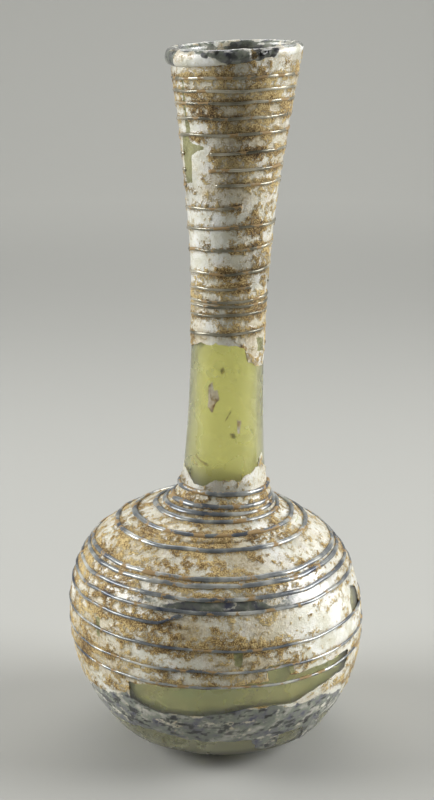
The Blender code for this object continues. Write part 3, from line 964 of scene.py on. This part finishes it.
def inner_film():
    """Pale grey-green film with slow changes of tint, and painted shade that turns it dark olive near the
    floor.
    """
    film = Finish("film inside the glass", {"Roughness": 0.6})
    tint = film.ramp(film.noise(75.0, 4.0), (0.32, (0.70, 0.80, 1.0)), (0.68, (0.88, 0.79, 1.0)))
    axes = film.new("SeparateXYZ")
    film.links.new(film.place, axes.inputs[0])
    # Painted shade: the film turns dark olive in the bottom of the globe.
    above_floor = film.spread(axes.outputs["Z"], 0.010, 0.020)
    film.put(film.mix(above_floor, (0.17, 0.155, 0.085, 1.0), tint), "Base Color")
    return film.material


film_material = inner_film()
neck_stain = lining_sheet(
    "neck_stain", along_at(0.077), along_at(0.109), 260, 440, NECK_WALL, 441, 0.0, NECK_STAINS, 0.2
)
body_lining = lining_sheet("body_film", along_at(0.004), along_at(0.064), 120, 200, BODY_WALL, 401, 0.0)
to_lip = along_at(rim_top(angles_round(120)) - 2.0 * MM)
mouth_lining = lining_sheet("mouth_film", along_at(0.120), to_lip, 120, 120, NECK_WALL, 421, 1.0)
belongs(body_lining, film_material)
belongs(neck_stain, crust_material)
belongs(mouth_lining, crust_material)

# The stage. A seamless round sweep of pale paper, a softbox high at each side so that the middle falls
# darker, a soft light from above for the ground, and the photograph's camera at the height of the rim.

SWEEP_FAR, SWEEP_BEND, SWEEP_TOP = 1.3, 0.5, 2.2
SWEEP_SIDES = 96
SWEEP_DOWN = 0.05 * MM


def sweep_points():
    """A round floor that bends up by a quarter circle into a wall all the way round."""
    bend = np.linspace(0.0, np.pi / 2, 16)
    out = np.concatenate([[0.05], SWEEP_FAR + SWEEP_BEND * np.sin(bend), [SWEEP_FAR + SWEEP_BEND]])[:, None]
    up = np.concatenate([[0.0], SWEEP_BEND * (1.0 - np.cos(bend)), [SWEEP_TOP]])[:, None]
    round_it = angles_round(SWEEP_SIDES)
    level = up - SWEEP_DOWN + 0.0 * round_it
    return np.stack([out * np.cos(round_it), out * np.sin(round_it), level], axis=-1)


sweep_net = sweep_points()
sweep, _ = new_piece(
    "sweep",
    np.concatenate([sweep_net.reshape(-1, 3), [[0.0, 0.0, -SWEEP_DOWN]]]),
    net_faces(len(sweep_net), SWEEP_SIDES)[..., ::-1].reshape(-1, 4),
    cap_faces(np.arange(SWEEP_SIDES), sweep_net.size // 3, True),
)
sweep.data.materials.append(
    Finish("pale grey paper", {"Base Color": (0.39, 0.39, 0.366, 1.0), "Roughness": 0.9}).material
)


def softbox(name, at, towards, size, power, spread=180.0):
    """A rectangular light at one point, turned to face another, with a grid that holds its light together."""
    lamp = bpy.data.lights.new(name, "AREA")
    lamp.shape = "RECTANGLE"
    lamp.size, lamp.size_y = size
    lamp.energy = power
    lamp.spread = np.radians(spread)
    holder = bpy.data.objects.new(name, lamp)
    forward = np.array(towards) - np.array(at)
    forward = forward / np.linalg.norm(forward)
    right = np.cross(forward, [0.0, 0.0, 1.0])
    right = right / np.linalg.norm(right)
    up = np.cross(right, forward)
    turn = np.eye(4)
    turn[:3, 0], turn[:3, 1], turn[:3, 2], turn[:3, 3] = right, up, -forward, at
    holder.matrix_world = turn.T.tolist()
    holder.visible_camera = False
    bpy.context.scene.collection.objects.link(holder)


MIDDLE = (0.0, 0.0, 0.06)
SIDE_SIZE, SIDE_SPREAD = (0.72, 0.50), 70.0
softbox("left softbox", (-1.0, 0.02, 0.48), MIDDLE, SIDE_SIZE, 2.9, SIDE_SPREAD)
softbox("right softbox", (1.0, 0.0, 0.47), MIDDLE, SIDE_SIZE, 3.2, SIDE_SPREAD)
softbox("overhead", (0.0, 1.2, 1.3), (0.0, 1.45, 0.0), (1.8, 1.0), 20.8)

world = bpy.data.worlds.new("studio")
world.use_nodes = True
world.node_tree.nodes["Background"].inputs["Color"].default_value = (0.98, 1.0, 1.0, 1.0)
world.node_tree.nodes["Background"].inputs["Strength"].default_value = 0.13
bpy.context.scene.world = world
bpy.context.scene.view_settings.view_transform = "Standard"

CAMERA_AT = (0.00027, -0.36151, 0.19228)
CAMERA_PITCH = 14.882
camera = bpy.data.cameras.new("photograph")
camera.lens = 61.68
camera.sensor_width = 36.0
camera.clip_start = 0.01
photograph = bpy.data.objects.new("photograph", camera)
photograph.location = CAMERA_AT
photograph.rotation_euler = (np.radians(90.0 - CAMERA_PITCH), 0.0, 0.0)
bpy.context.scene.collection.objects.link(photograph)
bpy.context.scene.camera = photograph
